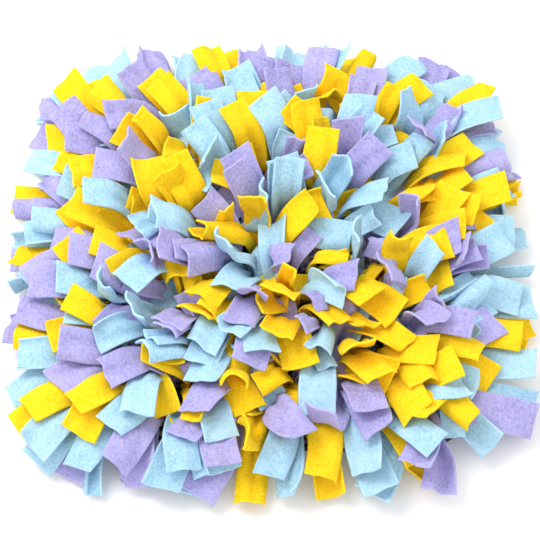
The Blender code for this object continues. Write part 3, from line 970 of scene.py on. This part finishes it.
def add_ring(ring, slot, fleece, mesh):
    """One ring's strips of one colour, as one piece."""
    strips = [s for s in all_strips(fleece, mesh) if s["ring"] == ring and s["slot"] == slot]
    if not strips:
        return
    made = [strip_parts(strip, fleece, mesh, number) for number, strip in enumerate(strips)]
    parts = [part for own, _, _ in made for part in own]
    piece = add_piece(f"ring_{ring}_{slot}", parts, fleece_material(slot, fleece))
    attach(piece, BODY)
    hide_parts(*sorted({strip["node"] for strip in strips if strip["node"]}))


# ---- materials ----

NAP = "Fleece Nap"
PILE_SCALE, TUFT_SCALE, PATCH_SCALE, ROW_SCALE = 720, 300, 70, 230
TINT_REACH = 0.16
EDGE_RAGGED = 0.0004
DEEPER, PALER = (1.35, 0.82), (0.8, 1.05)  # a power and a factor of the fleece's colour
PALE_MOST = 0.97


def new_group(name, inputs, outputs):
    """A shader node group with named sockets: pairs of name and socket type."""
    tree = bpy.data.node_groups.new(name, "ShaderNodeTree")
    for title, kind in inputs:
        tree.interface.new_socket(title, in_out="INPUT", socket_type=kind)
    for title, kind in outputs:
        tree.interface.new_socket(title, in_out="OUTPUT", socket_type=kind)
    return tree, tree.nodes.new("NodeGroupInput"), tree.nodes.new("NodeGroupOutput")


def set_values(node, values):
    """Sets a node's sockets to the values by their titles."""
    for title, value in values.items():
        node.inputs[title].default_value = value


def noise(tree, vector, scale, detail, roughness):
    """A noise texture's value, on a vector socket."""
    node = tree.nodes.new("ShaderNodeTexNoise")
    set_values(node, {"Scale": scale, "Detail": detail, "Roughness": roughness})
    tree.links.new(vector, node.inputs["Vector"])
    return node.outputs["Fac"]


def reshape(tree, value, low, high, to_low, to_high):
    """A value's range, clamped and mapped to another."""
    node = tree.nodes.new("ShaderNodeMapRange")
    set_values(node, {"From Min": low, "From Max": high, "To Min": to_low, "To Max": to_high})
    tree.links.new(value, node.inputs["Value"])
    return node.outputs["Result"]


def bumped(tree, height, strength, distance):
    """The normal of a surface roughened by a height."""
    node = tree.nodes.new("ShaderNodeBump")
    set_values(node, {"Strength": strength, "Distance": distance})
    tree.links.new(height, node.inputs["Height"])
    return node.outputs["Normal"]


def sum_of(tree, first, second, operation="ADD"):
    """Two values, or a value and a number, put together by a math node."""
    node = tree.nodes.new("ShaderNodeMath")
    node.operation = operation
    for socket, value in zip(node.inputs, (first, second)):
        if isinstance(value, (int, float)):
            socket.default_value = value
        else:
            tree.links.new(value, socket)
    return node.outputs["Value"]


def blend_colours(tree, share, first, second):
    """A mix of two colours, each a socket."""
    node = tree.nodes.new("ShaderNodeMix")
    node.data_type = "RGBA"
    tree.links.new(share, node.inputs["Factor"])
    tree.links.new(first, node.inputs[6])
    tree.links.new(second, node.inputs[7])
    return node.outputs[2]


def fleece_group():
    """The look of napped fleece: mottled pile, faint knitted rows, and a painted highlight on the
    cut edges.
    """
    if NAP in bpy.data.node_groups:
        return bpy.data.node_groups[NAP]
    tree, taken, given = new_group(
        NAP,
        [
            ("Cloth", "NodeSocketVector"), ("Tint", "NodeSocketFloat"),
            ("Cut Edge", "NodeSocketFloat"), ("Colour", "NodeSocketColor"),
            ("Deep", "NodeSocketColor"), ("Pale", "NodeSocketColor"),
        ],
        [("Colour", "NodeSocketColor"), ("Normal", "NodeSocketVector")],
    )
    cloth = taken.outputs["Cloth"]
    pale = taken.outputs["Pale"]
    pile = noise(tree, cloth, PILE_SCALE, 2.0, 0.65)
    tufts = noise(tree, cloth, TUFT_SCALE, 2.0, 0.6)
    patches = noise(tree, cloth, PATCH_SCALE, 2.0, 0.5)
    rows = tree.nodes.new("ShaderNodeTexWave")
    rows.bands_direction = "Y"
    set_values(rows, {"Scale": ROW_SCALE, "Distortion": 5, "Detail": 1, "Detail Scale": 1.5})
    tree.links.new(cloth, rows.inputs["Vector"])
    rows = rows.outputs["Fac"]
    speckle = reshape(tree, pile, 0.3, 0.7, -0.5, 0.5)
    for value, low, high, reach in (
        (tufts, 0.3, 0.7, 0.42), (rows, 0, 1, 0.07), (patches, 0.3, 0.7, 0.22)
    ):
        speckle = sum_of(tree, speckle, reshape(tree, value, low, high, -reach, reach))
    tint = sum_of(tree, taken.outputs["Tint"], TINT_REACH, "MULTIPLY")
    speckle = sum_of(tree, speckle, tint)
    colour = blend_colours(
        tree, reshape(tree, speckle, 0, 0.9, 0, 1), taken.outputs["Colour"], pale
    )
    colour = blend_colours(
        tree, reshape(tree, speckle, 0, -0.9, 0, 1), colour, taken.outputs["Deep"]
    )
    # Painted highlight: within about 1.4 mm of a cut edge, with a ragged border, the colour is
    # blended up to 35% towards the pale colour.
    ragged = reshape(tree, tufts, 0.2, 0.8, -EDGE_RAGGED, EDGE_RAGGED)
    edge = sum_of(tree, taken.outputs["Cut Edge"], ragged)
    rim = reshape(tree, edge, 0.0002, 0.0014, 0.35, 0.0)
    tree.links.new(blend_colours(tree, rim, colour, pale), given.inputs["Colour"])
    height = sum_of(tree, pile, sum_of(tree, tufts, 1.4, "MULTIPLY"))
    height = sum_of(tree, height, sum_of(tree, rows, 0.15, "MULTIPLY"))
    tree.links.new(bumped(tree, height, 0.8, 0.0006), given.inputs["Normal"])
    return tree


def new_material(name):
    """A material with only its Principled shader, and that shader."""
    material = bpy.data.materials.new(name)
    material.use_nodes = True
    return material, material.node_tree, material.node_tree.nodes["Principled BSDF"]


def fleece_material(slot, fleece):
    """Fleece in one of the three colours: the nap group, in a matt shader with a soft sheen."""
    material, tree, shader = new_material(slot)
    nap = tree.nodes.new("ShaderNodeGroup")
    nap.node_tree = fleece_group()
    uv = tree.nodes.new("ShaderNodeUVMap")
    uv.uv_map = "Cloth"
    tree.links.new(uv.outputs["UV"], nap.inputs["Cloth"])
    for title, attribute in (("Tint", "tint"), ("Cut Edge", "cut_edge")):
        reader = tree.nodes.new("ShaderNodeAttribute")
        reader.attribute_name = attribute
        tree.links.new(reader.outputs["Fac"], nap.inputs[title])
    base = np.array(getattr(fleece, slot.removeprefix("fleece_")))
    deep = base ** DEEPER[0] * DEEPER[1]
    pale = np.minimum(base ** PALER[0] * PALER[1], PALE_MOST)
    set_values(nap, {"Colour": (*base, 1), "Deep": (*deep, 1), "Pale": (*pale, 1)})
    tree.links.new(nap.outputs["Colour"], shader.inputs["Base Color"])
    tree.links.new(nap.outputs["Normal"], shader.inputs["Normal"])
    set_values(shader, {
        "Roughness": 0.95, "Specular IOR Level": 0.15, "Sheen Weight": 0.25,
        "Sheen Roughness": 0.45, "Sheen Tint": (*np.minimum(base**0.6, 1), 1),
    })
    return material


def rubber_material(mesh):
    """Dull black rubber, a little dusty, with a fine grain."""
    material, tree, shader = new_material("grid_rubber_mesh")
    coordinates = tree.nodes.new("ShaderNodeTexCoord")
    dust = noise(tree, coordinates.outputs["Object"], 60, 3.0, 0.6)
    grain = noise(tree, coordinates.outputs["Object"], 900, 2.0, 0.6)
    colours = tree.nodes.new("ShaderNodeValToRGB")
    for element, position, share in zip(colours.color_ramp.elements, (0.45, 0.75), (1, 2.2)):
        element.position = position
        element.color = (*(np.array(mesh.rubber) * share), 1)
    tree.links.new(dust, colours.inputs["Fac"])
    tree.links.new(colours.outputs["Color"], shader.inputs["Base Color"])
    tree.links.new(reshape(tree, dust, 0.3, 0.7, 0.5, 0.72), shader.inputs["Roughness"])
    tree.links.new(bumped(tree, grain, 0.35, 0.0002), shader.inputs["Normal"])
    return material


# ---- the mesh base ----

def add_mesh(mesh):
    """The rubber mesh: bars both ways under a rim that runs round its rounded square.

    A bar ends where the rim's middle line crosses it: at the straight side, or for one that meets
    a corner, at the corner's circle.
    """
    half = (GRID_BOX[1][0] - GRID_BOX[0][0]) / 2
    inset = mesh.rim_width / 2
    radius = mesh.corner_radius - inset
    straight = half - mesh.corner_radius
    count = int((half - inset) / mesh.cell)
    lines = (np.arange(-count - 1, count + 1) + 0.5) * mesh.cell
    lines = lines[np.abs(lines) < half - mesh.rim_width]
    past = np.maximum(np.abs(lines) - straight, 0)
    ends = straight + np.sqrt(np.maximum(radius**2 - past**2, 0))
    profile = rounded_profile(mesh.bar_width, mesh.bar_height, power=3.5)
    parts = []
    for axis, top, hand in ((0, BAR_TOP, -1), (1, BAR_TOP - BAR_STEP, 1)):
        ahead = np.eye(3)[axis]
        side = np.eye(3)[1 - axis]
        for line, end in zip(lines, ends):
            middle = side * line + UP * (top - mesh.bar_height / 2)
            path = np.stack([middle - ahead * end, middle, middle + ahead * end])
            sides, ups = np.tile(side * hand, (3, 1)), np.tile(UP, (3, 1))
            parts.append(plain_part(*tube(path, sides, ups, profile, False)))
    quarter = np.linspace(0, math.pi / 2, 13)
    rim = []
    for number, (x, y) in enumerate(((1, 1), (-1, 1), (-1, -1), (1, -1))):
        angle = quarter + number * math.pi / 2
        corner = (x * straight + radius * np.cos(angle), y * straight + radius * np.sin(angle))
        rim.append(np.column_stack([*corner, np.full(len(angle), BAR_TOP / 2)]))
    path = np.concatenate(rim)
    ups = np.tile(UP, (len(path), 1))
    profile = rounded_profile(mesh.rim_width, BAR_TOP, steps=4, power=3.5)
    parts.append(plain_part(*tube(path, np.cross(ahead_round(path), UP), ups, profile, True)))
    base = add_piece("rubber_mesh", parts, rubber_material(mesh))
    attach(base, BODY)
    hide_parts("grid")


# ---- floor, lights and camera ----

FLOOR_REACH = 3.0
KEY_PLACE = (-0.55, 0.25, 1.1)
KEY_SIZE = 0.7


def add_floor(stage):
    """A plain pale floor, far wider than the mat."""
    mesh = bpy.data.meshes.new("floor")
    corners = ((-1, -1), (1, -1), (1, 1), (-1, 1))
    places = [(x * FLOOR_REACH, y * FLOOR_REACH, 0) for x, y in corners]
    mesh.from_pydata(places, [], [(0, 1, 2, 3)])
    material, _, shader = new_material("pale_floor")
    base = (*stage.floor, 1)
    set_values(shader, {"Base Color": base, "Roughness": 0.9, "Specular IOR Level": 0.1})
    mesh.materials.append(material)
    linked("floor", mesh)


def add_light(stage):
    """A square soft light above and to the left, turned to the middle of the mat."""
    lamp = bpy.data.lights.new("key", "AREA")
    lamp.size = KEY_SIZE
    lamp.energy = stage.key
    light = linked("key", lamp)
    light.location = KEY_PLACE
    light.rotation_euler = (-light.location).to_track_quat("-Z", "Y").to_euler()
    world = bpy.data.worlds.new("studio")
    world.use_nodes = True
    background = world.node_tree.nodes["Background"]
    set_values(background, {"Color": (1, 1, 1, 1), "Strength": stage.sky})
    bpy.context.scene.world = world


def add_camera(stage):
    """The camera, looking down at the mat from in front."""
    lens = bpy.data.cameras.new("camera")
    camera = linked("camera", lens)
    aim = Vector(stage.aim)
    back = Vector((0, -math.cos(stage.elevation), math.sin(stage.elevation)))
    camera.location = aim + back * stage.distance
    camera.rotation_euler = (-back).to_track_quat("-Z", "Y").to_euler()
    lens.angle = stage.field
    bpy.context.scene.camera = camera


# ---- settings, operators and panel ----

class FleeceSettings(bpy.types.PropertyGroup):
    """Sizes and colours of the fleece strips."""

    strip_width: FloatProperty(
        name="Strip Width", description="Width that a strip is cut to",
        default=0.032, unit="LENGTH",
    )
    flap_length: FloatProperty(
        name="Flap Length", description="Length of a strip past its knot",
        default=0.074, unit="LENGTH",
    )
    knot_length: FloatProperty(
        name="Knot Length", description="Length of a strip that its knot takes",
        default=0.040, unit="LENGTH",
    )
    thickness: FloatProperty(
        name="Thickness", description="Thickness of the fleece", default=0.0022, unit="LENGTH",
    )
    knot_height: FloatProperty(
        name="Knot Height", description="Height of a knot's middle", default=0.0102, unit="LENGTH",
    )
    knot_sink: FloatProperty(
        name="Knot Sink", description="How far a flap starts inside its knot",
        default=0.0045, unit="LENGTH",
    )
    curl: FloatProperty(
        name="Curl", description="How much the flaps curl across", default=1.0, subtype="FACTOR",
    )
    cupped_share: FloatProperty(
        name="Cupped Share", description="Share of flaps cupped to their tips",
        default=0.24, subtype="FACTOR",
    )
    creased_share: FloatProperty(
        name="Creased Share", description="Share of flaps with a crease along them", default=0.5,
        subtype="FACTOR",
    )
    corner_lift: FloatProperty(
        name="Corner Lift", description="How far a tip's corners curl up or down", default=0.0035,
        unit="LENGTH",
    )
    ripple: FloatProperty(
        name="Ripple", description="Height of the slow ripples", default=0.0008, unit="LENGTH",
    )
    blue: FloatVectorProperty(
        name="Blue", description="Pale blue fleece", default=(0.40, 0.64, 0.80), subtype="COLOR",
    )
    yellow: FloatVectorProperty(
        name="Yellow", description="Yellow fleece", default=(0.98, 0.625, 0.013), subtype="COLOR",
    )
    lavender: FloatVectorProperty(
        name="Lavender", description="Lavender fleece",
        default=(0.407, 0.378, 0.69), subtype="COLOR",
    )
    border: FloatProperty(
        name="Border", description="Distance from the middle past which most strips are blue",
        default=0.125, unit="LENGTH",
    )
    seed: IntProperty(
        name="Seed", description="Chooses the curls and creases of the flaps", default=11,
    )


class MeshSettings(bpy.types.PropertyGroup):
    """Sizes and colour of the rubber mesh."""

    cell: FloatProperty(
        name="Cell", description="From bar to bar; three cells fit between two rings of strips",
        default=PITCH / 3, unit="LENGTH",
    )
    bar_width: FloatProperty(
        name="Bar Width", description="Width of a bar", default=0.003, unit="LENGTH",
    )
    bar_height: FloatProperty(
        name="Bar Height", description="Height of a bar", default=0.003, unit="LENGTH",
    )
    rim_width: FloatProperty(
        name="Rim Width", description="Width of the rim", default=0.005, unit="LENGTH",
    )
    corner_radius: FloatProperty(
        name="Corner Radius", description="Outer radius of the mesh's corners",
        default=0.060, unit="LENGTH",
    )
    rubber: FloatVectorProperty(
        name="Rubber", description="Colour of the rubber",
        default=(0.012, 0.011, 0.011), subtype="COLOR",
    )


class StageSettings(bpy.types.PropertyGroup):
    """Floor, lights and camera."""

    floor: FloatVectorProperty(
        name="Floor", description="Colour of the floor",
        default=(0.97, 0.97, 0.97), subtype="COLOR",
    )
    sky: FloatProperty(
        name="Sky", description="Strength of the even light from all round", default=1.17,
    )
    key: FloatProperty(
        name="Key", description="Power of the main light, in watts", default=9.0,
    )
    elevation: FloatProperty(
        name="Elevation", description="Camera's angle above the floor", default=math.radians(60),
        subtype="ANGLE",
    )
    distance: FloatProperty(
        name="Distance", description="Camera's distance from its aim", default=1.5, unit="LENGTH",
    )
    field: FloatProperty(
        name="Field", description="Camera's field of view", default=2 * math.atan(0.239 / 1.5),
        subtype="ANGLE",
    )
    aim: FloatVectorProperty(
        name="Aim", description="Point that the camera looks at", default=(0.0, -0.014, 0.02),
        subtype="TRANSLATION",
    )


class SNUFFLE_OT_mesh(bpy.types.Operator):
    """Adds the rubber mesh that the strips are knotted to"""

    bl_idname = "snuffle.add_mesh"
    bl_label = "Add Rubber Mesh"

    def execute(self, context):
        """Adds the mesh."""
        add_mesh(context.scene.snuffle_mesh)
        return {"FINISHED"}


class SNUFFLE_OT_ring(bpy.types.Operator):
    """Adds one square ring of fleece strips, a piece for each colour"""

    bl_idname = "snuffle.add_ring"
    bl_label = "Add Ring of Strips"

    ring: IntProperty(
        name="Ring", description="Ring, from the outside in", default=1, min=1, max=RINGS,
    )

    def execute(self, context):
        """Adds the ring's strips."""
        for slot in COLOURS:
            add_ring(self.ring, slot, context.scene.snuffle_fleece, context.scene.snuffle_mesh)
        return {"FINISHED"}


class SNUFFLE_OT_stage(bpy.types.Operator):
    """Adds the floor, the lights and the camera"""

    bl_idname = "snuffle.add_stage"
    bl_label = "Add Floor, Lights and Camera"

    def execute(self, context):
        """Adds the stage."""
        stage = context.scene.snuffle_stage
        add_floor(stage)
        add_light(stage)
        add_camera(stage)
        context.scene.view_settings.view_transform = "Standard"
        return {"FINISHED"}


class SNUFFLE_PT_panel(bpy.types.Panel):
    """Lists the steps and their settings"""

    bl_idname = "SNUFFLE_PT_panel"
    bl_label = "Snuffle Mat"
    bl_space_type = "VIEW_3D"
    bl_region_type = "UI"
    bl_category = "Snuffle Mat"

    def draw(self, context):
        """Draws the settings, then the buttons."""
        for title in ("snuffle_mesh", "snuffle_fleece", "snuffle_stage"):
            settings = getattr(context.scene, title)
            box = self.layout.box()
            for name in titles(settings):
                box.prop(settings, name)
        self.layout.operator(SNUFFLE_OT_mesh.bl_idname)
        for ring in range(1, RINGS + 1):
            self.layout.operator(SNUFFLE_OT_ring.bl_idname, text=f"Add Ring {ring}").ring = ring
        self.layout.operator(SNUFFLE_OT_stage.bl_idname)


CLASSES = (
    FleeceSettings, MeshSettings, StageSettings, SNUFFLE_OT_mesh, SNUFFLE_OT_ring, SNUFFLE_OT_stage,
    SNUFFLE_PT_panel,
)


def register():
    """Registers the classes and puts their settings on the scene."""
    for item in CLASSES:
        bpy.utils.register_class(item)
    bpy.types.Scene.snuffle_fleece = PointerProperty(type=FleeceSettings)
    bpy.types.Scene.snuffle_mesh = PointerProperty(type=MeshSettings)
    bpy.types.Scene.snuffle_stage = PointerProperty(type=StageSettings)


def unregister():
    """Takes the settings and the classes away."""
    for title in ("snuffle_stage", "snuffle_mesh", "snuffle_fleece"):
        delattr(bpy.types.Scene, title)
    for item in reversed(CLASSES):
        bpy.utils.unregister_class(item)


def main():
    """Builds the mat and its stage."""
    register()
    bpy.ops.snuffle.add_mesh()
    for ring in range(1, RINGS + 1):
        bpy.ops.snuffle.add_ring(ring=ring)
    bpy.ops.snuffle.add_stage()


if __name__ == "__main__":
    main()
